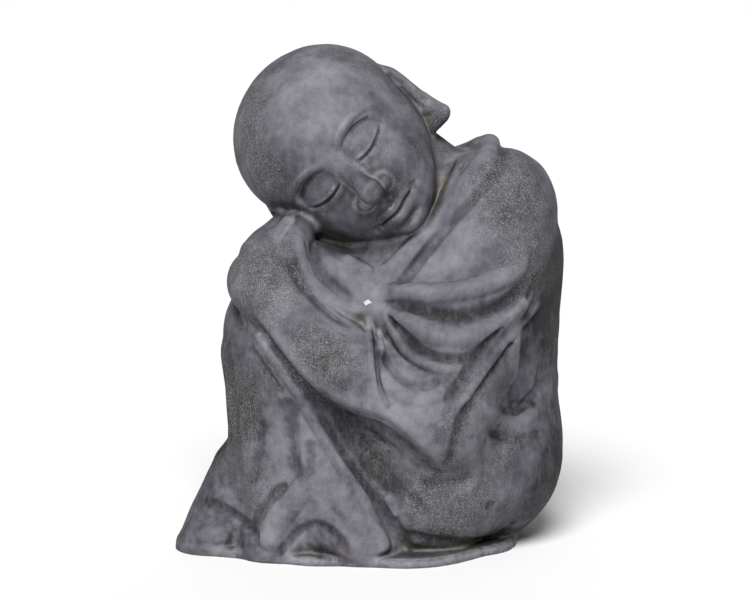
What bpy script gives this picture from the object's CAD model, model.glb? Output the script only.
"""A young monk asleep with the head laid on the folded arms, in cast stone.

The carved figure is one closed surface, worked out from a distance field: a function that is negative
inside the stone, positive outside, and changes by about 1 for each millimetre. Shapes are written in
millimetres as [right, away, up] from the display side, for a height of 400.
"""

import math
from collections import namedtuple

import bpy
import numpy as np
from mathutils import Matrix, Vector


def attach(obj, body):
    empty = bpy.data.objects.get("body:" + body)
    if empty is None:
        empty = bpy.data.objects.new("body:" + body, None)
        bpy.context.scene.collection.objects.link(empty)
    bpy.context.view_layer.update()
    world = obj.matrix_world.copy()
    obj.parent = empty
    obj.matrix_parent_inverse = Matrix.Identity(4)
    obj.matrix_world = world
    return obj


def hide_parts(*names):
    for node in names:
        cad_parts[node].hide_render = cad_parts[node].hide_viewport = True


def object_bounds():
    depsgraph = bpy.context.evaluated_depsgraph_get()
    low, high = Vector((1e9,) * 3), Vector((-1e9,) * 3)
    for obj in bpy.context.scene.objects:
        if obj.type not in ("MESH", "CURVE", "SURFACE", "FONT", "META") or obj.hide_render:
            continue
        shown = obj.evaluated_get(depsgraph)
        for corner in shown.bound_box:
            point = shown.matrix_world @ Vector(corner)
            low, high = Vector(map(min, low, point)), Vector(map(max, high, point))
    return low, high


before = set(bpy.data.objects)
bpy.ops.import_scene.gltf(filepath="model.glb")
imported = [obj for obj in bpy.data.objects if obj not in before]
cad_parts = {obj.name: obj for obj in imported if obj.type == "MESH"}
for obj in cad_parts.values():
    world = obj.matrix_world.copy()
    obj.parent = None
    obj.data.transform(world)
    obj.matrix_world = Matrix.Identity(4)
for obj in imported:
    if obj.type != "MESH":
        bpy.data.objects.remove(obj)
solid_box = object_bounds()

# Grid that the surface is found on, what it covers to the right and away and how high it goes, where it is
# fine for the head, the even steps up from the ground, and the triangles that the skin is thinned to
BODY_STEP = 2.1
HEAD_STEP = 1.35
GRID_SPAN = ((-176, 176), (-138, 168))
GRID_TOP = 408
HEAD_SPAN = ((-104, 84), (-104, 10), (236, 408))
EVEN_STEPS = 24
TRIANGLES = 190000

# Pose, as in the solid
BODY_TURN = math.radians(38)
HEAD_CENTRE = np.array([-27.0, -10.0, 317.0])
HEAD_UP = np.array([-0.775, -0.1, 0.63])
HEAD_FACES = np.array([0.05, -1.0, -0.1])
COLLAR_ROLL = [(-6, 56, 238), (20, 72, 266), (52, 66, 290), (88, 36, 310), (95, 4, 300), (78, -16, 276)]
BASE_THICKNESS = 7
BASE_MARGIN = 2.5

# Middle of the figure's box on the ground, where the frame has its origin
MIDDLE = np.array([-1.8, 15.84, 0])

# The views that folds are drawn in: the place looked at and how far off the eye is. The photograph looks
# down by LOOK_DOWN degrees, a PIXEL is so many millimetres at AIM, and AIM stands AIM_LEFT and AIM_ABOVE
# pixels from the picture's middle
AIM = np.array([-2.0, 10.0, 197.0])
EYE_DISTANCE = 2600
LOOK_DOWN = 8.7
PIXEL = 0.7984
PICTURE_WIDTH = 750
AIM_LEFT = 4.5
AIM_ABOVE = 3.5
SENSOR = 36

# Lines of sight are followed this far before and past AIM, until they are this close to the body
SIGHT_REACH = 260
CONTACT = 0.05

# A fold's height over its rise, and how near the skin folds and tool marks are worked out
RIDGE_GAIN = 1.25
GROOVE_GAIN = 1.6
FOLD_DEPTH = 16
MARK_DEPTH = 10

# The arch under the hem, (centre, radii), and the chip on the chest, right of and above AIM
ARCH = ((-46, -98, -1), (25, 18, 14))
CHIP = (-2.0, -4.4)

# Surroundings
FLOOR_REACH = 30
FLOOR_COLOUR = (0.82, 0.82, 0.82)
SKY_STRENGTH = 0.14


def seen_from(azimuth, elevation, folds):
    """Folds drawn in one view, each (rise, left, right, path), with the direction of sight added."""
    turn = math.radians(azimuth)
    lift = math.radians(elevation)
    sight = np.array([-math.sin(turn) * math.cos(lift), math.cos(turn) * math.cos(lift), -math.sin(lift)])
    return [(rise, left, right, path, sight) for rise, left, right, path in folds]


# Folds: how far the cloth swells along a curve, below zero for a groove, how far that spreads to its left
# and right, and the curve in millimetres right of and above AIM
FOLDS = [
    *seen_from(0, LOOK_DOWN, [
        # collar band
        (4.5, 11, 11, [(98, 138), (97, 122), (83, 101), (56, 66), (31, 33), (12, 8)]),
        # neckline edge
        (3, 13, 3, [(75, 115), (56, 79), (34, 48), (15, 27), (4, 20)]),
        # neckline far edge
        (2.5, 8, 2.5, [(4, 20), (-8, 27), (-21, 34)]),
        # groove outside the collar
        (-5, 6, 7, [(103, 134), (107, 118), (103, 103), (80, 75), (50, 41), (28, 13), (12, -5)]),
        # fine line in the collar
        (-1.4, 2.4, 2.4, [(77, 109), (63, 87), (48, 66)]),
        # sleeve roll 1
        (9, 10, 9, [(0, 0), (20, 3), (43, 3), (65, 3), (85, 7), (107, 15), (119, 23), (125, 37)]),
        # groove under roll 1
        (-7.5, 8, 9, [(8, -3), (32, -9), (56, -14), (78, -15), (100, -9), (115, 1), (124, 15)]),
        # sleeve roll 2
        (7, 8, 12, [(4, -10), (30, -18), (52, -28), (76, -30), (98, -22), (118, -8), (132, 8)]),
        # groove under roll 2
        (-6, 6, 6, [(12, -14), (20, -21), (31, -35), (43, -45), (60, -50), (75, -50), (88, -43)]),
        # sleeve roll 3
        (5, 4.5, 7, [(14, -18), (20, -29), (29, -43), (43, -52), (60, -57), (76, -55)]),
        # groove under roll 3
        (-5, 5, 6, [(10, -40), (14, -52), (20, -61), (31, -69), (44, -71), (58, -66)]),
        # sleeve roll 4
        (4, 8, 8, [(10, -55), (15, -70), (28, -80), (46, -82), (62, -73)]),
        # crease at the elbow
        (-3.5, 3, 3.5, [(4, -28), (5, -46), (6, -62), (10, -78), (17, -94)]),
        # ridge beside the crease
        (3, 4, 4, [(-2, -14), (-1, -28), (0, -44), (2, -61), (5, -76)]),
        # short ridge at the elbow
        (1.8, 3.8, 3.8, [(5, -24), (8, -36), (11, -46), (16, -57), (23, -67)]),
        # sleeve back edge
        (-6.5, 6, 5, [(133, 20), (126, 2), (111, -14), (96, -31), (82, -51), (69, -71), (57, -86)]),
        # ridge behind the sleeve
        (4.5, 5, 5, [(138, -2), (120, -22), (103, -43), (89, -62), (77, -80), (70, -97)]),
        # second line behind the sleeve
        (-5, 5, 5, [(140, -8), (128, -19), (113, -34), (99, -56), (86, -76), (78, -94), (74, -110)]),
        # crease down the back
        (-2.5, 4, 4, [(137, -32), (137, -48), (132, -72), (127, -96)]),
        # sleeve hem
        (4.5, 12, 3, [(-87, -16), (-70, -42), (-48, -67), (-20, -86), (12, -96), (36, -116), (58, -135)]),
        # groove under the sleeve hem
        (-5, 6, 11, [(-96, -12), (-88, -26), (-72, -49), (-49, -75), (-20, -94), (11, -105), (35, -124),
                     (60, -144)]),
        # sleeve tip
        (-6.5, 7, 5, [(61, -139), (68, -119), (73, -99), (79, -78)]),
        # edge of the near sleeve over the hand
        (4, 5, 9, [(-57, 50), (-56, 40), (-52, 26), (-45, 12), (-32, 0), (-17, -9), (0, -14)]),
        # hollow beside that edge
        (-2.6, 7, 5, [(-47, 46), (-46, 38), (-43, 27), (-36, 15), (-25, 5), (-11, -3)]),
        # hollow under that edge
        (-2.4, 5, 10, [(-62, 34), (-58, 16), (-46, 0), (-30, -14), (-12, -26)]),
        # shin and thigh
        (-8, 6, 9, [(-66, -54), (-49, -80), (-34, -105), (-18, -129), (-2, -152), (12, -172), (24, -190),
                    (34, -202)]),
        # shin edge
        (5, 8, 6, [(-60, -76), (-43, -103), (-28, -128), (-12, -152), (4, -175)]),
        # knee fold
        (4.5, 6, 6, [(-93, -25), (-80, -44), (-63, -70), (-45, -93)]),
        # outside the knee fold
        (-3.5, 5, 5, [(-98, -38), (-86, -56), (-69, -79)]),
        # inside the knee fold
        (-4, 4, 4, [(-83, -29), (-70, -48), (-56, -64), (-41, -84)]),
        # between the shins
        (-4, 12, 12, [(-67, -79), (-64, -113), (-59, -148)]),
        # shin hollow
        (-2, 7, 7, [(-49, -113), (-48, -145)]),
        # far shin hollow
        (-2, 8, 8, [(-86, -95), (-90, -127), (-96, -153)]),
        # far lobe groove
        (-6, 6, 6, [(-134, -162), (-118, -169), (-105, -177), (-93, -187), (-86, -200)]),
        # far lobe ridge
        (3, 14, 12, [(-148, -186), (-130, -190), (-110, -198)]),
        # middle lobe
        (8, 12, 11, [(-52, -148), (-60, -160), (-72, -174), (-80, -190), (-84, -204)]),
        # beside the middle lobe
        (-5, 7, 5, [(-66, -148), (-80, -162), (-92, -178), (-98, -192)]),
        # hem arch
        (-6, 6, 5, [(-78, -210), (-66, -199), (-56, -188), (-45, -183), (-34, -186), (-24, -195),
                    (-16, -208)]),
        # near lobe
        (7, 13, 12, [(-27, -150), (-20, -165), (-6, -181), (6, -196), (10, -208)]),
        # hip roll
        (3.6, 9, 8, [(84, -84), (98, -95), (113, -101), (127, -96), (136, -84)]),
        # under the hip roll
        (-2.6, 6, 6, [(92, -107), (107, -112), (122, -114), (136, -108)]),
        # hip notch
        (-3.2, 5, 5, [(112, -96), (126, -82), (137, -66)]),
        # hip bulge
        (5, 13, 13, [(116, -12), (114, -43), (113, -70), (116, -86)]),
        # light ridge on the thigh
        (3, 10, 10, [(79, -113), (83, -139), (76, -162)]),
        # dimple on the seat
        (-3, 6, 6, [(93, -166), (95, -167), (99, -168)]),
        # thigh hollow
        (-4, 14, 14, [(-28, -92), (-8, -120), (10, -142), (32, -160)]),
        # thigh ridge
        (2.5, 8, 8, [(11, -158), (19, -178)]),
        # lower thigh hollow
        (-2.5, 6, 6, [(32, -156), (45, -175)]),
        # under the seat
        (-4, 7, 7, [(24, -189), (55, -195), (94, -193), (119, -177)]),
    ]),
    *seen_from(128, 5, [
        # collar behind the neck
        (3.2, 11, 11, [(-64, 82), (-32, 100), (4, 103), (38, 92), (60, 72)]),
        # fold 1 from the left shoulder to the right hip
        (5.6, 9, 15, [(-30, 88), (-8, 62), (22, 30), (58, 4), (96, -14)]),
        # groove under fold 1
        (-3.4, 9, 9, [(-46, 84), (-26, 50), (6, 12), (46, -18), (90, -36)]),
        # fold 2
        (5.6, 9, 15, [(-40, 72), (-30, 34), (-6, -12), (34, -46), (88, -64)]),
        # groove under fold 2
        (-3.4, 9, 9, [(-50, 50), (-43, 8), (-22, -38), (20, -70), (80, -90)]),
        # fold 3
        (5.2, 9, 15, [(-50, 16), (-49, -22), (-34, -64), (2, -94), (62, -116)]),
        # groove under fold 3
        (-3.1, 9, 9, [(-56, -16), (-52, -52), (-40, -90), (-12, -116), (40, -136)]),
        # fold 4
        (4.4, 9, 14, [(-66, -64), (-58, -98), (-38, -126), (-6, -144), (34, -156)]),
        # fold from the right armpit
        (4, 10, 10, [(52, 62), (76, 40), (104, 26)]),
    ]),
    *seen_from(218, 6, [
        # far sleeve roll 1
        (5.6, 11, 11, [(26, -6), (2, -14), (-26, -6), (-48, 18)]),
        # groove under roll 1
        (-3.4, 8, 8, [(24, -20), (-4, -30), (-34, -22), (-58, 4)]),
        # far sleeve roll 2
        (4.8, 10, 10, [(18, -34), (-10, -44), (-38, -38), (-60, -14)]),
        # groove under roll 2
        (-3.1, 8, 8, [(10, -48), (-12, -60), (-40, -54)]),
        # far sleeve hem
        (3.2, 6, 12, [(72, 0), (46, -32), (20, -60), (-4, -86)]),
        # groove under the far sleeve hem
        (-3.4, 9, 7, [(74, -12), (50, -44), (26, -72), (2, -100)]),
        # back edge of the far sleeve
        (-3.4, 9, 9, [(-62, 34), (-46, -14), (-28, -56), (-8, -92)]),
        # fold over the far hip
        (4.4, 12, 12, [(-74, -58), (-44, -94), (-2, -116), (42, -118)]),
        # hollow under it
        (-3.1, 11, 11, [(-86, -84), (-50, -118), (-6, -140), (40, -142)]),
        # fold from the far shoulder
        (3.2, 10, 10, [(-54, 70), (-26, 62), (0, 34)]),
    ]),
    *seen_from(270, 5, [
        # fold over the far shin
        (3.2, 11, 11, [(44, -34), (52, -90), (62, -150)]),
        # hollow along the far shin
        (-2.8, 10, 10, [(22, -50), (32, -100), (40, -156)]),
    ]),
]


# Distance-field sums on whole arrays; a place is a tuple of three arrays

def smooth(start, end, x):
    """3 t squared minus 2 t cubed, where t runs from 0 at start to 1 at end."""
    t = np.clip((x - start) / (end - start), 0, 1)
    return t * t * (3 - 2 * t)


def blend(a, b, k):
    """The lesser of a and b, less k/4 times the square of 1 - |a - b| / k where they are within k."""
    h = np.maximum(k - np.abs(a - b), 0) / k
    return np.minimum(a, b) - h * h * (k * 0.25)


def cut(a, b, k):
    """a without b, with a soft seam."""
    return -blend(-a, b, k)


def bump(x, y=0.0):
    """(1 - x squared - y squared) squared inside the unit circle, and 0 outside it."""
    return np.maximum(0, 1 - x * x - y * y) ** 2


def length(x, y, z):
    """Square root of the sum of the squares."""
    return np.sqrt(x * x + y * y + z * z)


def ellipsoid(p, centre, radii):
    """n (n - 1) / g, with n the length of the offset over the radii, and g that of the same once more
    over the radii."""
    x, y, z = ((p[n] - centre[n]) / radii[n] for n in range(3))
    near = length(x, y, z)
    slope = length(x / radii[0], y / radii[1], z / radii[2])
    return near * (near - 1) / np.maximum(slope, 1e-6)


def limb(p, start, end, radius_start, radius_end):
    """Distance to a straight line from start to end, less a radius that changes evenly along it."""
    along = [end[n] - start[n] for n in range(3)]
    off = [p[n] - start[n] for n in range(3)]
    t = (off[0] * along[0] + off[1] * along[1] + off[2] * along[2]) / sum(a * a for a in along)
    t = np.clip(t, 0, 1)
    gap = length(off[0] - along[0] * t, off[1] - along[1] * t, off[2] - along[2] * t)
    return gap - radius_start - (radius_end - radius_start) * t


def to_body(p):
    """[ahead, left, up] of the seated body, which is turned by BODY_TURN from the display side's left."""
    c, s = math.cos(BODY_TURN), math.sin(BODY_TURN)
    return -p[0] * c - p[1] * s, p[0] * s - p[1] * c, p[2]


def head_axes():
    """Unit vectors to the left ear, out of the face and to the crown."""
    up = HEAD_UP / np.linalg.norm(HEAD_UP)
    out = HEAD_FACES - up * (HEAD_FACES @ up)
    out /= np.linalg.norm(out)
    return np.cross(up, out), out, up


HEAD_AXES = head_axes()


def to_head(p):
    """Coordinates along the head's three axes from its centre."""
    q = [p[n] - HEAD_CENTRE[n] for n in range(3)]
    return tuple(q[0] * axis[0] + q[1] * axis[1] + q[2] * axis[2] for axis in HEAD_AXES)


def torso(q):
    """Hips, waist and chest as ellipsoids blended together, leaning a little ahead."""
    hips = ellipsoid(q, (-81, 0, 71), (80, 104, 85))
    waist = ellipsoid(q, (-82, 0, 166), (74, 99, 96))
    chest = ellipsoid(q, (-77, 0, 238), (79, 105, 68))
    return blend(blend(hips, waist, 40), chest, 40)


def leg(q, side, knee, ankle):
    """Thigh and shin of one side, with side 1 on the left."""
    hip = (-60, 52 * side, 66)
    return blend(limb(q, hip, knee, 62, 40), limb(q, knee, ankle, 37, 31), 20)


def elbow(side):
    """Where the bent elbow rests by the knee."""
    return (6, 94 * side, 114)


def upper_arm(q, side, shoulder):
    """The sleeved arm from the shoulder to the elbow."""
    return limb(q, shoulder, elbow(side), 47, 35)


def forearm(q, side, middle, wrist):
    """The sleeved arm from the elbow, bent a little at its middle, to the wrist."""
    return blend(limb(q, elbow(side), middle, 35, 31), limb(q, middle, wrist, 31, 28), 16)


def neck(p):
    """Throat, the stone left solid under the head, and the collar rolled up behind."""
    under_head = limb(p, (-8, 8, 232), (-46, 4, 274), 36, 30)
    throat = blend(limb(p, (58, 20, 264), (22, 14, 296), 46, 43), under_head, 12)
    roll = limb(p, COLLAR_ROLL[0], COLLAR_ROLL[1], 13, 13)
    for start, end in zip(COLLAR_ROLL[1:], COLLAR_ROLL[2:]):
        roll = np.minimum(roll, limb(p, start, end, 13, 13))
    return blend(throat, roll, 10)


def hand(p):
    """The back of the hand under the cheek, its pad by the sleeve, and two fingers over the far arm."""
    d = limb(p, (-80, -38, 237), (-66, -30, 246), 19, 15)
    d = blend(d, limb(p, (-62, -54, 244), (-56, -46, 260), 15, 12), 8)
    d = blend(d, limb(p, (-92, -44, 240), (-66, -34, 266), 11, 9), 4)
    return blend(d, limb(p, (-82, -60, 244), (-65, -50, 265), 7, 6), 2.5)


def lap(p, q):
    """The fullness of both sleeves, the far one across the chest, and the skirt on both sides with the
    stone left solid between."""
    sleeve = ellipsoid(p, (50, -50, 160), (56, 44, 72))
    tip = limb(p, (54, -74, 118), (57, -84, 92), 32, 14)
    chest = ellipsoid(p, (22, -24, 222), (42, 30, 46))
    chest = blend(chest, limb(p, (4, -28, 198), (-62, -44, 224), 38, 29), 14)
    skirt = ellipsoid(p, (38, -42, 62), (68, 46, 66))
    far_sleeve = ellipsoid(q, (-10, -68, 158), (48, 42, 66))
    far_skirt = ellipsoid(q, (14, -50, 52), (76, 46, 66))
    under_knees = limb(p, (-26, -8, 22), (28, -8, 30), 42, 42)
    near_side = blend(blend(blend(sleeve, tip, 12), chest, 12), skirt, 12)
    far_side = blend(blend(far_sleeve, far_skirt, 14), under_knees, 8)
    return blend(near_side, far_side, 12)


def hem(p):
    """The hem flares round the feet to the base in three lobes."""
    far = limb(p, (-103, -22, 62), (-127, -24, 0), 26, 30)
    front = limb(p, (-74, -34, 156), (-66, -38, 10), 38, 42)
    middle = limb(p, (-52, -62, 52), (-80, -58, 4), 18, 19)
    near = limb(p, (-34, -70, 52), (-2, -72, 4), 18, 20)
    return blend(blend(blend(front, far, 16), middle, 16), near, 16)


def base(p, q):
    """A rounded plan that follows the hem and the seat, with an upright rim."""
    level = p[2] * 0
    seat = ellipsoid((q[0], q[1], level), (-64, -6, 0), (56, 78, 56))
    plan = (p[0], p[1], level)
    side = limb(plan, (70, -16, 0), (24, -40, 0), 40, 51)
    front = limb(plan, (24, -40, 0), (-40, -44, 0), 51, 39)
    far = limb(plan, (-40, -44, 0), (-124, -24, 0), 39, 28)
    far_back = limb(plan, (-20, 44, 0), (-96, 6, 0), 42, 30)
    wall = blend(blend(blend(seat, side, 20), blend(front, far, 20), 20), far_back, 30)
    rim = cut(wall - BASE_MARGIN, BASE_THICKNESS - p[2], 3)
    return np.maximum(rim, -12 - p[2])


def body(p):
    """The clothed body before its folds."""
    q = to_body(p)
    d = torso(q)
    d = blend(d, leg(q, -1, (72, -29, 176), (74, -31, 28)), 12)
    d = blend(d, leg(q, 1, (78, 5, 158), (60, 44, 28)), 18)
    d = blend(d, hem(p), 14)
    d = blend(d, lap(p, q), 14)
    d = blend(d, upper_arm(q, 1, (-68, 72, 273)), 18)
    d = blend(d, upper_arm(q, -1, (-66, -68, 262)), 18)
    d = blend(d, forearm(q, 1, (68, 38, 157), (104, -6, 219)), 8)
    d = blend(d, forearm(q, -1, (52, -62, 170), (84, -14, 232)), 8)
    d = blend(d, hand(p), 6)
    return blend(d, neck(p), 12)


# The head, in its own coordinates; m is the same place mirrored to the left side

def stroke(across, along, width):
    """A line's cross-section, width wide to either side, that fades out at along = -1 and 1."""
    return bump(across / width) * smooth(0, 0.3, 1 - np.abs(along))


def closed_eye(x, z):
    """A full lid over the eyeball, its lash line, the crease over it and the soft fold under it."""
    s = (x - 26) / 16
    lash = -5.5 - 3.5 * (1 - s * s) + 1.2 * s
    crease = 7 + 5 * (1 - s * s) - 1.5 * s
    under = -14 - 3 * (1 - s * s)
    rise = 5 * bump((x - 26) / 17, (z - 0.5) / 12)
    rise = rise - 2.0 * stroke(z - lash, s / 1.05, 2.1) + 0.9 * stroke(z - lash - 2.6, s, 2.2)
    rise = rise - 1.3 * stroke(z - crease, s / 1.1, 2.4)
    return rise - 0.7 * stroke(z - under, s / 0.9, 3.0)


def mouth(x, z):
    """Two full lips that meet on a soft bow, with the dips at its corners, over the lip and under it."""
    s = x / 21
    line = -55.5 - 0.5 * np.cos(np.minimum(s, 1) * math.pi * 2) + 1.6 * s * s
    upper = 4.6 * bump(x / 22, (z - line - 4.4) / 6.4) - 1.0 * bump(x / 3.6, (z + 48) / 4)
    lower = 5.2 * bump(x / 18, (z - line + 5) / 7.2)
    rise = upper + lower - 2.8 * stroke(z - line, s, 2.0)
    rise = rise - 1.6 * bump((x - 22) / 4.5, (z + 53) / 5)
    rise = rise - 1.1 * bump(x / 3, (z + 44) / 5) + 0.6 * bump((x - 4.4) / 2.6, (z + 44) / 5)
    return rise - 2.2 * bump(x / 14, (z + 68) / 5)


def face_relief(m):
    """How far the face stands out: the eye sockets, lids, brows, cheeks, lips and chin."""
    x, out, z = m
    rise = -5 * bump((x - 25) / 21, (z - 3) / 15) + closed_eye(x, z)
    brow = 3.2 * bump((np.hypot(x - 27, z + 16) - 35) / 5, (x - 28) / 27)
    rise = rise + np.where(z > -10, brow, 0)
    rise = rise + 2.5 * bump((x - 32) / 22, (z + 30) / 20) + mouth(x, z)
    rise = rise + 3 * bump(x / 16, (z + 76) / 12)
    return smooth(5, 30, out) * rise


def nose(m):
    """Bridge, tip and wings."""
    bridge = limb(m, (0, 61, 17), (0, 72, -24), 5.5, 7.5)
    tip = ellipsoid(m, (0, 73, -30), (9.5, 9.5, 8))
    wing = ellipsoid(m, (10.5, 65, -32), (6.5, 8.5, 6.5))
    return blend(blend(bridge, tip, 5), wing, 3)


def ear(m):
    """A flat shell with a rolled rim, leaning out from the head to a pointed lobe that joins the jaw, and
    the hollow in it."""
    shell = limb(m, (65, -12, 2), (64, -12, -26), 10, 10)
    rim = ellipsoid(m, (68, -12, -12), (8, 16, 31))
    lobe = limb(m, (68, -6, -30), (75, -3, -45), 9, 5.5)
    web = limb(m, (56, -5, -42), (71, -4, -46), 9, 6.5)
    d = blend(blend(shell, rim, 6), blend(lobe, web, 4), 6)
    d = cut(d, limb(m, (73, 2, 6), (74, 2, -24), 5, 4), 3)
    return cut(d, ellipsoid(m, (68, 3, -16), (3, 6, 14)), 3)


def head(h):
    """Cranium, full cheeks and chin, with the face, nose and ears on them."""
    m = (np.abs(h[0]), h[1], h[2])
    cranium = ellipsoid(h, (0, -10, 20), (71, 77, 65))
    cheeks = ellipsoid(h, (0, 6, -26), (61, 59, 46))
    chin = ellipsoid(h, (0, 25, -57), (31, 32, 27))
    d = blend(blend(cranium, cheeks, 26), chin, 26)
    d = d - face_relief(m)
    d = blend(d, nose(m), 6)
    nostril = ellipsoid(m, (5.5, 70, -38.5), (2.6, 4, 2.4))
    return blend(cut(d, nostril, 1.5), ear(m), 2.5)


# Folds

Fold = namedtuple("Fold", "rise left right sight line low high")


def through(path, steps):
    """A smooth curve through points: the Catmull-Rom cubic of each four neighbours, in steps parts."""
    path = np.array(path, float)
    ends = np.vstack([2 * path[0] - path[1], path, 2 * path[-1] - path[-2]])
    t = np.arange(steps)[:, None] / steps
    spans = []
    for a, b, c, d in zip(ends, ends[1:], ends[2:], ends[3:]):
        spans.append(0.5 * (2 * b + (c - a) * t + (2 * a - 5 * b + 4 * c - d) * t**2
                            + (3 * b - a - 3 * c + d) * t**3))
    return np.vstack([*spans, path[-1:]])


def laid_on_body(drawn, sight):
    """Where the lines of sight through drawn points come closest to the body, or first meet it."""
    right = np.cross(sight, (0, 0, 1))
    right /= np.linalg.norm(right)
    up = np.cross(right, sight)
    rays = sight * EYE_DISTANCE + drawn[:, :1] * right + drawn[:, 1:] * up
    rays /= np.linalg.norm(rays, axis=1)[:, None]
    eye = AIM - sight * EYE_DISTANCE
    reach = np.full(len(drawn), float(EYE_DISTANCE - SIGHT_REACH))
    closest = np.full(len(drawn), np.inf)
    found = np.zeros((len(drawn), 3))
    for _ in range(400):
        at = eye + rays * reach[:, None]
        d = body(tuple(at.T))
        nearer = (d < closest) & (closest > CONTACT)
        closest = np.where(nearer, d, closest)
        found[nearer] = at[nearer]
        reach = reach + np.where(closest > CONTACT, np.maximum(np.abs(d) * 0.8, 0.4), 0)
        if np.all((closest <= CONTACT) | (reach > EYE_DISTANCE + SIGHT_REACH)):
            break
    return found


def laid_folds():
    """Each fold with its curve laid on the body and the box that it stays in."""
    laid = []
    for rise, left, right, path, sight in FOLDS:
        line = laid_on_body(through(path, 4), sight)
        spread = max(left, right)
        laid.append(Fold(rise, left, right, sight, line, line.min(0) - spread, line.max(0) + spread))
    return laid


folds = laid_folds()


def fold_rise(p, fold):
    """A ridge is its rise and gain times (1 - x squared) squared, with x the gap over the width, and a
    groove is its rise and gain times (1 - x) squared, which leaves a sharp crease. Both taper to nothing at
    the curve's ends."""
    start, along = fold.line[:-1], np.diff(fold.line, axis=0)
    size = np.maximum((along**2).sum(1), 1e-9)
    off = [p[n][:, None] - start[None, :, n] for n in range(3)]
    t = np.clip(sum(off[n] * along[:, n] for n in range(3)) / size, 0, 1)
    off = [off[n] - along[:, n] * t for n in range(3)]
    gaps = off[0]**2 + off[1]**2 + off[2]**2
    nearest = gaps.argmin(1)
    rows = np.arange(len(nearest))
    sideways = np.cross(along, fold.sight) / np.sqrt(size)[:, None]
    off_left = sum(off[n][rows, nearest] * sideways[nearest, n] for n in range(3))
    share = (nearest + t[rows, nearest]) / len(start)
    width = fold.right + (fold.left - fold.right) * smooth(-2, 2, off_left)
    taper = smooth(0, 0.18, share) * smooth(0, 0.18, 1 - share)
    x = np.minimum(np.sqrt(gaps[rows, nearest]) / width, 1)
    return fold.rise * taper * (RIDGE_GAIN * bump(x) if fold.rise > 0 else GROOVE_GAIN * (1 - x)**2)


def risen(p):
    """How far all the folds together raise the cloth at each place."""
    rise = np.zeros(len(p[0]))
    low, high = [axis.min() for axis in p], [axis.max() for axis in p]
    for fold in folds:
        if any(fold.low[n] > high[n] or fold.high[n] < low[n] for n in range(3)):
            continue
        inside = np.ones(len(rise), bool)
        for n in range(3):
            inside &= (p[n] > fold.low[n]) & (p[n] < fold.high[n])
        inside = np.flatnonzero(inside)
        if len(inside):
            rise[inside] += fold_rise([axis[inside] for axis in p], fold)
    return rise


def folded(p, d):
    """The body's distance d with every fold taken from it near the surface, and the arch under the hem."""
    d = d.copy()
    near = np.flatnonzero(np.abs(d) < FOLD_DEPTH)
    if len(near):
        d[near] -= risen([axis[near] for axis in p])
    return cut(d, ellipsoid(p, *ARCH), 8)


def dents(p, size, seed, cells=64):
    """Smooth random heights from -1 to 1: a lattice of seeded numbers, size apart, eased between, which
    comes round again after so many cells."""
    lattice = np.random.default_rng(seed).uniform(-1, 1, (cells, cells, cells)).astype(np.float32)
    cell = [np.floor(axis / size).astype(int) for axis in p]
    ease = [smooth(0, 1, p[n] / size - cell[n]) for n in range(3)]
    total = 0
    for corner in np.ndindex(2, 2, 2):
        weight = 1
        for n in range(3):
            weight = weight * (ease[n] if corner[n] else 1 - ease[n])
        total = total + weight * lattice[tuple((cell[n] + corner[n]) % cells for n in range(3))]
    return total


def tool_marks(p):
    """The uneven hand of the carver: shallow dents of three sizes, at most about 0.7 mm in all."""
    return 0.40 * dents(p, 17.0, 1) + 0.18 * dents(p, 8.3, 2) + 0.08 * dents(p, 4.1, 3)


def figure(p):
    """The whole casting: the folded body, the head and the base, with the tool marks over all."""
    d = folded(p, body(p))
    d = blend(d, head(to_head(p)), 7)
    d = blend(d, base(p, to_body(p)), 5)
    near = np.flatnonzero(np.abs(d) < MARK_DEPTH)
    if len(near):
        d[near] += tool_marks([axis[near] for axis in p])
    return d


def in_parts(field, p, size=120000):
    """A field worked out for a long array of places, a part at a time."""
    ends = range(0, len(p[0]), size)
    return np.concatenate([field(tuple(axis[n:n + size] for axis in p)) for n in ends])


# The surface

def grid_lines(low, high, fine_from, fine_to):
    """Places from low to high, HEAD_STEP apart from fine_from to fine_to, and wider by a twentieth of the
    way from there, up to BODY_STEP."""
    lines = [low]
    while lines[-1] < high:
        away = max(fine_from - lines[-1], lines[-1] - fine_to, 0)
        lines.append(lines[-1] + min(BODY_STEP, HEAD_STEP + away * 0.05))
    return np.array(lines)


def sampled(field, lines, step=4, reach=22):
    """Field values on a grid. Every step-th place is worked out first, and the rest only near the surface."""
    shape = tuple(len(axis) for axis in lines)
    rough_lines = [axis[::step] for axis in lines]
    rough_places = np.meshgrid(*rough_lines, indexing="ij")
    rough = in_parts(field, tuple(axis.ravel() for axis in rough_places)).reshape(rough_places[0].shape)
    near = np.abs(rough) < reach
    for axis in range(3):
        near |= np.roll(near, -1, axis)
    value = rough
    for axis in range(3):
        value = value.repeat(step, axis)
        near = near.repeat(step, axis)
    value = np.ascontiguousarray(value[:shape[0], :shape[1], :shape[2]])
    places = np.nonzero(near[:shape[0], :shape[1], :shape[2]])
    value[places] = in_parts(field, tuple(lines[n][places[n]] for n in range(3)))
    return value


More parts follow.
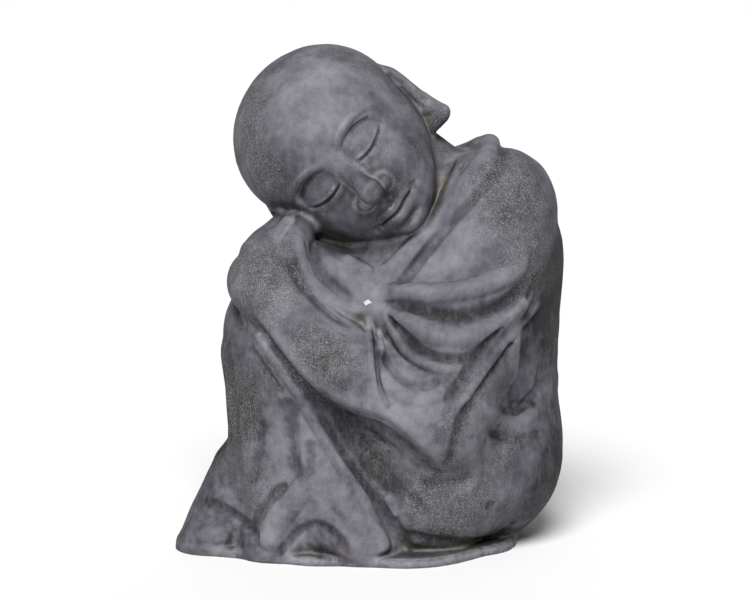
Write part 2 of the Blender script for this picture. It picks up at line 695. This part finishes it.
def close_checkers(value):
    """Where two opposite corners of a grid square are inside and the other two outside, the skin would
    meet itself along a line, so the shallower of the outside two is taken inside until none is left."""
    just_inside = -0.05
    planes = [((1, 0, 0), (0, 1, 0)), ((0, 1, 0), (0, 0, 1)), ((0, 0, 1), (1, 0, 0))]
    steps = np.array(value.strides) // value.itemsize
    flat = value.reshape(-1)
    found = 1
    while found:
        found = 0
        for one, other in planes:
            size = [value.shape[n] - one[n] - other[n] for n in range(3)]
            view = [value[tuple(slice(k[n], k[n] + size[n]) for n in range(3))] < 0
                    for k in ((0, 0, 0), one, tuple(np.add(one, other)), other)]
            checker = (view[0] == view[2]) & (view[1] == view[3]) & (view[0] != view[1])
            corner = np.argwhere(checker) @ steps
            found += len(corner)
            for at in corner:
                ring = at + np.array([0, steps @ one, steps @ np.add(one, other), steps @ other])
                outside = ring[flat[ring] >= 0]
                if len(outside) == 2:
                    flat[outside[flat[outside].argmin()]] = just_inside


def skin_of(value, lines):
    """Surface nets: one point in each cell that the surface crosses, at the middle of its crossings, and
    one quad round each grid edge that it crosses, turned to face outwards."""
    close_checkers(value)
    shape = np.array(value.shape)
    steps = np.array([shape[1] * shape[2], shape[2], 1])
    flat = value.reshape(-1)
    inside = value < 0
    corners = [inside[i:shape[0] - 1 + i, j:shape[1] - 1 + j, k:shape[2] - 1 + k]
               for i, j, k in np.ndindex(2, 2, 2)]
    crossed = np.logical_or.reduce(corners) & ~np.logical_and.reduce(corners)
    cells = np.argwhere(crossed)
    first = cells @ steps
    total = np.zeros((len(cells), 3))
    count = np.zeros(len(cells))
    spans = [np.diff(axis) for axis in lines]
    for axis in range(3):
        for corner in np.ndindex(2, 2):
            low = np.zeros(3, int)
            low[(axis + 1) % 3], low[(axis + 2) % 3] = corner
            a = flat[first + low @ steps]
            b = flat[first + low @ steps + steps[axis]]
            meets = (a < 0) != (b < 0)
            t = np.where(meets, a / np.where(meets, a - b, 1), 0)
            for n in range(3):
                share = t if n == axis else low[n]
                place = lines[n][cells[:, n]] + spans[n][cells[:, n]] * share
                total[:, n] += np.where(meets, place, 0)
            count += meets
    points = total / count[:, None]
    point_of = np.full(value.size, -1)
    point_of[first] = np.arange(len(cells))
    quads = []
    for axis in range(3):
        low = [slice(1, -1)] * 3
        high = list(low)
        high[axis] = slice(2, None)
        change = inside[tuple(low)] != inside[tuple(high)]
        at = (np.argwhere(change) + 1) @ steps
        b, c = steps[(axis + 1) % 3], steps[(axis + 2) % 3]
        ring = np.stack([at - b - c, at - c, at, at - b], 1)
        turned = flat[at] >= 0
        ring[turned] = ring[turned][:, ::-1]
        quads.append(point_of[ring])
    return points, np.concatenate(quads)


def without_bubbles(points, quads):
    """Only the faces that hang together side to side in the largest skin. Each face takes the lowest
    number among its neighbours, over and over, until nothing changes."""
    sides = np.stack([quads, np.roll(quads, -1, 1)], -1).reshape(-1, 2)
    order = (sides.min(1) * len(points) + sides.max(1)).argsort(kind="stable")
    one, other = order[0::2] // 4, order[1::2] // 4
    label = np.arange(len(quads))
    changed = True
    while changed:
        low = np.minimum(label[one], label[other])
        lowest = label.copy()
        np.minimum.at(lowest, label[one], low)
        np.minimum.at(lowest, label[other], low)
        lowest = lowest[lowest]
        changed = (lowest != label).any()
        label = lowest
    kept = quads[label == np.bincount(label).argmax()]
    used, faces = np.unique(kept, return_inverse=True)
    return points[used], faces.reshape(kept.shape)


def onto_surface(points, turns=2, nudge=0.05):
    """Steps of -d / |slope| squared times the slope, with the field's slope taken over a nudge."""
    for _ in range(turns):
        d = in_parts(figure, tuple(points.T))
        slope = np.empty_like(points)
        for n in range(3):
            moved = points.copy()
            moved[:, n] += nudge
            slope[:, n] = (in_parts(figure, tuple(moved.T)) - d) / nudge
        steep = np.maximum((slope**2).sum(1), 0.25)
        points = points - slope * (np.clip(d, -1, 1) / steep)[:, None]
    return points


def carved_figure():
    """The figure's points in millimetres and its faces, with a flat underside at height 0. The lowest grid
    lines are half a step off the ground, so that no point lies on it before it is put there."""
    across, away = (grid_lines(*span, *fine) for span, fine in zip(GRID_SPAN, HEAD_SPAN))
    ground = np.arange(-1.5, EVEN_STEPS) * BODY_STEP
    up = grid_lines(EVEN_STEPS * BODY_STEP, GRID_TOP, *HEAD_SPAN[2])
    lines = [across, away, np.concatenate([ground, up])]
    value = sampled(lambda p: np.maximum(figure(p), -p[2]), lines)
    points, quads = without_bubbles(*skin_of(value, lines))
    resting = points[:, 2] < BODY_STEP * 0.5
    points[~resting] = onto_surface(points[~resting])
    edge = np.flatnonzero(resting)
    at = points[edge]
    at[:, 2] = 0.02
    rim = np.abs(in_parts(figure, tuple(at.T))) < BODY_STEP * 1.5
    at[rim, :2] = onto_surface(at[rim])[:, :2]
    points[edge] = at
    points[resting, 2] = 0
    return points, quads


def mesh_of(name, points, faces):
    """A mesh from whole arrays of points and faces."""
    mesh = bpy.data.meshes.new(name)
    mesh.vertices.add(len(points))
    mesh.vertices.foreach_set("co", np.asarray(points, np.float32).ravel())
    sides = faces.shape[1]
    mesh.loops.add(faces.size)
    mesh.loops.foreach_set("vertex_index", np.asarray(faces, np.int32).ravel())
    mesh.polygons.add(len(faces))
    mesh.polygons.foreach_set("loop_start", np.arange(0, faces.size, sides, dtype=np.int32))
    mesh.update(calc_edges=True)
    return mesh


def points_of(mesh, what="co"):
    """A mesh's points, or the directions that it faces at them, as an array."""
    flat = np.empty(len(mesh.vertices) * 3, np.float32)
    if what == "co":
        mesh.vertices.foreach_get("co", flat)
    else:
        mesh.vertex_normals.foreach_get("vector", flat)
    return flat.reshape(-1, 3).astype(float)


def thinned(mesh, triangles):
    """The mesh with its least needed edges drawn together until that many triangles are left."""
    whole = bpy.data.objects.new("whole", mesh)
    bpy.context.scene.collection.objects.link(whole)
    thin = whole.modifiers.new("thin", "DECIMATE")
    thin.ratio = min(1, triangles / (2 * len(mesh.polygons)))
    thin.use_collapse_triangulate = True
    result = bpy.data.meshes.new_from_object(whole.evaluated_get(bpy.context.evaluated_depsgraph_get()))
    bpy.data.objects.remove(whole)
    bpy.data.meshes.remove(mesh)
    return result


def set_share(mesh, name, values):
    """A number from 0 to 1 at each point, which the stone reads."""
    layer = mesh.attributes.new(name, "FLOAT", "POINT")
    layer.data.foreach_set("value", np.clip(values, 0, 1).astype(np.float32))


def in_frame(points):
    """Millimetres to metres, with the figure's own box fitted to the solid's."""
    low, high = (np.array(corner) for corner in solid_box)
    own_low, own_high = points.min(0), points.max(0)
    return low + (points - own_low) / (own_high - own_low) * (high - low)


def carve():
    """The figure as an object. hollow tells how closed in each point is, by how little the distance
    grows on the way out from it; ridge how sharp, by how little it grows on the way in. crest and groove
    tell how far the folds raise or sink it."""
    points, quads = carved_figure()
    mesh = thinned(mesh_of("carved_monk", points, quads), TRIANGLES)
    points, facing = points_of(mesh), points_of(mesh, "normal")

    def growth(reach):
        return in_parts(figure, tuple((points + facing * reach).T)) / reach

    hollow = 1 - (0.3 * growth(2.5) + 0.35 * growth(7) + 0.35 * growth(18))
    ridge = 1 - (0.3 * growth(-2.5) + 0.7 * growth(-7))
    set_share(mesh, "hollow", hollow)
    set_share(mesh, "ridge", ridge * 2)
    # A crest 8 mm high and a groove 7 mm deep are full ones
    rise = in_parts(risen, tuple(points.T))
    set_share(mesh, "crest", rise / 8)
    set_share(mesh, "groove", -rise / 7)
    mesh.vertices.foreach_set("co", in_frame(points).astype(np.float32).ravel())
    mesh.shade_smooth()
    mesh.update()
    monk = bpy.data.objects.new("carved_monk", mesh)
    bpy.context.scene.collection.objects.link(monk)
    return monk


# The finish

# Colours of the stone, from the shaded hollows to the broken edge
SHADED = (0.018, 0.017, 0.020)
CHARCOAL = (0.088, 0.084, 0.102)
PALE = (0.190, 0.186, 0.208)
BRUSHED = (0.205, 0.20, 0.215)
RUBBED = (0.27, 0.266, 0.285)
DUST = (0.37, 0.368, 0.362)
SAND = (0.30, 0.298, 0.295)
PITTED = (0.024, 0.023, 0.026)
OCHRE = (0.105, 0.092, 0.058)
RUST = (0.15, 0.075, 0.055)
BROKEN = (0.60, 0.62, 0.64)

# Balls that the pale dust lies in, (centre, radius) in metres in the frame
DUSTY = [
    ((-0.10, -0.06, 0.35), 0.045),  # left of the crown
    ((-0.09, -0.08, 0.30), 0.04),  # temple
    ((0.10, -0.07, 0.285), 0.055),  # shoulder
    ((0.125, -0.07, 0.235), 0.045),  # upper arm
    ((-0.08, -0.08, 0.215), 0.05),  # far forearm
    ((-0.035, -0.10, 0.165), 0.045),  # near forearm
    ((0.065, -0.11, 0.05), 0.06),  # thigh
    ((-0.10, -0.07, 0.12), 0.05),  # shin
]
# Balls where the stone is smooth and worn pale
WORN = [
    ((-0.045, -0.08, 0.355), 0.05),  # brow
    ((-0.01, -0.09, 0.205), 0.045),  # chest
    ((0.05, -0.07, 0.24), 0.04),  # collar
    ((0.07, -0.055, 0.265), 0.045),  # collar's top
    ((0.02, -0.12, 0.135), 0.04),  # elbow
    ((-0.06, -0.10, 0.10), 0.045),  # shins
    ((-0.065, -0.115, 0.03), 0.04),  # middle lobe of the hem
    ((0.0, -0.11, 0.03), 0.035),  # near lobe
]
# Balls where the dirt has stayed
DIRTY = [
    ((-0.125, -0.04, 0.12), 0.07),  # far shin
    ((0.135, -0.02, 0.05), 0.07),  # seat
    ((0.15, 0.0, 0.2), 0.08),  # back, near the display side
]


class Value:
    """A number that varies over a surface. A sum on it adds a Math node."""

    def __init__(self, finish, socket):
        self.finish = finish
        self.socket = socket

    def sum(self, operation, *values):
        """What a Math node makes of numbers and values."""
        node = self.finish.node("ShaderNodeMath", {"operation": operation}, dict(enumerate(values)))
        return Value(self.finish, node.outputs[0])

    def __add__(self, other):
        return self.sum("ADD", self, other)

    def __sub__(self, other):
        return self.sum("SUBTRACT", self, other)

    def __rsub__(self, other):
        return self.sum("SUBTRACT", other, self)

    def __mul__(self, other):
        return self.sum("MULTIPLY", self, other)

    __radd__ = __add__
    __rmul__ = __mul__

    def away_from(self, other):
        """The distance between two numbers."""
        return (self - other).sum("ABSOLUTE", self - other)

    def greater(self, other):
        """The greater of two numbers."""
        return self.sum("MAXIMUM", self, other)

    def between(self, start, end):
        """0 below start, 1 above end and even between; start above end turns it round."""
        span = {"From Min": start, "From Max": end}
        node = self.finish.node("ShaderNodeMapRange", {"clamp": True}, {"Value": self, **span})
        return Value(self.finish, node.outputs["Result"])


class Finish:
    """A material under construction."""

    def __init__(self, name):
        self.material = bpy.data.materials.new(name)
        self.material.use_nodes = True
        self.tree = self.material.node_tree
        self.shader = self.tree.nodes["Principled BSDF"]

    def node(self, kind, settings=None, values=None):
        """A node with its settings, and the values or links of its sockets."""
        node = self.tree.nodes.new(kind)
        for name, setting in (settings or {}).items():
            setattr(node, name, setting)
        self.feed(node, values or {})
        return node

    def feed(self, node, values):
        """The values or links of a node's sockets, each by its name or number."""
        for name, value in values.items():
            socket = node.inputs[name]
            if isinstance(value, Value):
                self.tree.links.new(value.socket, socket)
            elif isinstance(value, bpy.types.NodeSocket):
                self.tree.links.new(value, socket)
            else:
                socket.default_value = value

    def share(self, name):
        """A number kept at the mesh's points."""
        node = self.node("ShaderNodeAttribute", {"attribute_name": name})
        return Value(self, node.outputs["Fac"])

    def noise(self, place, scale, detail, roughness):
        """Cloudy numbers round 0.5, with about scale clouds to the metre."""
        values = {"Vector": place, "Scale": scale, "Detail": detail, "Roughness": roughness}
        node = self.node("ShaderNodeTexNoise", {"noise_dimensions": "3D"}, values)
        return Value(self, node.outputs["Fac"])

    def parts(self, vector):
        """The three numbers of a vector."""
        node = self.node("ShaderNodeSeparateXYZ", {}, {"Vector": vector})
        return [Value(self, output) for output in node.outputs]

    def zone(self, place, centre, radius):
        """1 in the middle of a ball, in metres, easing to 0 at its edge."""
        gap = self.node("ShaderNodeVectorMath", {"operation": "DISTANCE"}, {0: place, 1: centre})
        return Value(self, gap.outputs["Value"]).between(radius, radius * 0.45)

    def placed(self, place, turn, scale):
        """Places turned and stretched about the origin."""
        node = self.node("ShaderNodeMapping", {}, {"Vector": place, "Rotation": turn, "Scale": scale})
        return node.outputs["Vector"]

    def tinted(self, share, colour, over):
        """over with colour mixed in by share. A Mix node's two colours are its sockets 6 and 7."""
        values = {0: share, 6: over, 7: (*colour, 1)}
        return self.node("ShaderNodeMix", {"data_type": "RGBA"}, values).outputs[2]


def cast_stone(chip):
    """Charcoal cast stone: dark in the hollows, worn pale on the ridges, dusted with fine pale grains,
    with brush streaks low on the robe, ochre in the deepest folds and one white chip."""
    stone = Finish("cast_stone")
    place = stone.node("ShaderNodeTexCoord").outputs["Object"]
    hollow, ridge, crest, groove = (stone.share(name) for name in ("hollow", "ridge", "crest", "groove"))

    broad = stone.noise(place, 9, 4, 0.55)
    cloud = stone.noise(place, 42, 4, 0.6)
    mottle = stone.noise(place, 170, 3, 0.6)
    grain = stone.noise(place, 700, 2, 0.65)
    fine = stone.noise(place, 1650, 3, 0.65)
    streak = stone.noise(stone.placed(place, (0.1, 0.35, 0), (260, 260, 34)), 1, 4, 0.65)
    low_down = stone.parts(place)[2].between(0.26, 0.16)
    patches = stone.noise(place, 17, 3, 0.55)

    dusty = patches.between(0.46, 0.66) * 0.6
    for centre, radius in DUSTY:
        dusty = dusty.greater(stone.zone(place, centre, radius) + (cloud - 0.5) * 1.6)
    smooth_stone = crest
    for centre, radius in WORN:
        smooth_stone = smooth_stone.greater(stone.zone(place, centre, radius) * 0.8 + (cloud - 0.5) * 0.8)
    dusty = dusty - smooth_stone * 0.7 - hollow * 0.5
    dirt = groove
    for centre, radius in DIRTY:
        dirt = dirt.greater(stone.zone(place, centre, radius) * 0.5)

    # 0 in the darkest hollow, about 0.5 on plain stone and 1 where it is worn
    tone = (0.52 + (broad - 0.5) * 1.0 + (cloud - 0.5) * 1.1 + (mottle - 0.5) * 0.5 + ridge * 0.4
            + smooth_stone * 0.36 - hollow * 1.2 - dirt - dusty.between(0.0, 1.0) * 0.34)
    colour = stone.tinted(tone.between(0.0, 0.5), CHARCOAL, (*SHADED, 1))
    colour = stone.tinted(tone.between(0.45, 1.05), PALE, colour)
    colour = stone.tinted(streak.between(0.5, 0.75) * low_down * 0.25, BRUSHED, colour)
    worn = ridge.between(0.25, 0.9) * mottle.between(0.3, 0.6)
    colour = stone.tinted(worn * 0.5, RUBBED, colour)

    # Dust lies as pale specks and coarser grains, with small dark pits between
    specks = fine.between(0.52, 0.68) * dusty.between(0.0, 0.9)
    colour = stone.tinted(specks * 0.85, DUST, colour)
    grains = grain.between(0.58, 0.72) * dusty.between(-0.2, 0.9)
    colour = stone.tinted(grains * 0.5, SAND, colour)
    pits = grain.between(0.42, 0.34) * (0.25 + dusty.between(0.0, 0.8) * 0.6)
    colour = stone.tinted(pits * 0.5, PITTED, colour)

    ochre = hollow.between(0.15, 0.6) * cloud.between(0.42, 0.62)
    colour = stone.tinted(ochre * 0.45, OCHRE, colour)
    rust = stone.noise(place, 75, 2, 0.5).between(0.68, 0.76)
    colour = stone.tinted(rust * 0.25, RUST, colour)

    # The chip: a leaning wedge where the greatest of its three gaps, roughened by the grain, is small
    off = stone.node("ShaderNodeVectorMath", {"operation": "SUBTRACT"}, {0: place, 1: chip})
    x, y, z = stone.parts(off.outputs["Vector"])
    gap = ((x + z * 0.5).away_from(0.0) * 0.8).greater(y.away_from(0.0) * 0.2)
    gap = gap.greater((z - x * 0.5).away_from(0.0) * 1.3).greater(x + z) + (grain - 0.5) * 0.003
    colour = stone.tinted(gap.between(0.0027, 0.0021) * 0.9, BROKEN, colour)

    height = grain * 0.6 + mottle * 0.5 + fine * 0.3 + streak * low_down * 0.3 - pits * 0.4
    bumped = stone.node("ShaderNodeBump", {}, {"Strength": 0.5, "Distance": 0.0009, "Height": height})
    roughness = 0.92 - ridge * 0.14 - grains * 0.05
    stone.feed(stone.shader, {"Base Color": colour, "Roughness": roughness})
    stone.feed(stone.shader, {"Normal": bumped.outputs["Normal"], "Specular IOR Level": 0.35})
    return stone.material


def plain(name, colour, roughness):
    """A material of one colour."""
    finish = Finish(name)
    finish.feed(finish.shader, {"Base Color": (*colour, 1), "Roughness": roughness})
    return finish.material


def soft_light(name, azimuth, elevation, strength, spread):
    """A broad distant light from an angle round the display side and above the ground, in degrees."""
    turn, lift = math.radians(azimuth), math.radians(elevation)
    source = Vector((math.sin(turn) * math.cos(lift), -math.cos(turn) * math.cos(lift), math.sin(lift)))
    light = bpy.data.lights.new(name, "SUN")
    light.energy = strength
    light.angle = math.radians(spread)
    lamp = bpy.data.objects.new(name, light)
    lamp.rotation_euler = (-source).to_track_quat("-Z", "Y").to_euler()
    bpy.context.scene.collection.objects.link(lamp)


def photograph_camera():
    """The photograph's own view, with AIM as far off the picture's middle as it is there."""
    lift = math.radians(LOOK_DOWN)
    back = np.array([0, -math.cos(lift), math.sin(lift)])
    up = np.array([0, math.sin(lift), math.cos(lift)])
    target = AIM - MIDDLE + np.array([AIM_LEFT * PIXEL, 0, 0]) - up * AIM_ABOVE * PIXEL
    lens = bpy.data.cameras.new("camera")
    lens.sensor_width = SENSOR
    lens.lens = SENSOR * EYE_DISTANCE / (PICTURE_WIDTH * PIXEL)
    lens.clip_end = 100
    camera = bpy.data.objects.new("camera", lens)
    camera.location = (target + back * EYE_DISTANCE) / 1000
    camera.rotation_euler = Vector(-back).to_track_quat("-Z", "Y").to_euler()
    bpy.context.scene.collection.objects.link(camera)
    bpy.context.scene.camera = camera


def chip_place():
    """Where the line of sight through the chip on the chest meets the body, in metres in the frame."""
    lift = math.radians(LOOK_DOWN)
    sight = np.array([0, math.cos(lift), -math.sin(lift)])
    return tuple((laid_on_body(np.array([CHIP]), sight)[0] - MIDDLE) / 1000)


monk = carve()
monk.data.materials.append(cast_stone(chip_place()))
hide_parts("resting_monk")
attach(monk, "root")

corners = FLOOR_REACH * np.array([(-1, -1, 0), (1, -1, 0), (1, 1, 0), (-1, 1, 0)], float)
floor_mesh = mesh_of("floor", corners, np.array([[0, 1, 2, 3]]))
floor = bpy.data.objects.new("floor", floor_mesh)
floor_mesh.materials.append(plain("pale_floor", FLOOR_COLOUR, 0.9))
bpy.context.scene.collection.objects.link(floor)

world = bpy.data.worlds.new("studio")
world.use_nodes = True
sky = world.node_tree.nodes["Background"]
sky.inputs["Color"].default_value = (1, 1, 1, 1)
sky.inputs["Strength"].default_value = SKY_STRENGTH
bpy.context.scene.world = world
bpy.context.scene.view_settings.view_transform = "Standard"

soft_light("key", azimuth=-6, elevation=46, strength=4.6, spread=30)
soft_light("back", azimuth=170, elevation=30, strength=0.4, spread=60)
photograph_camera()
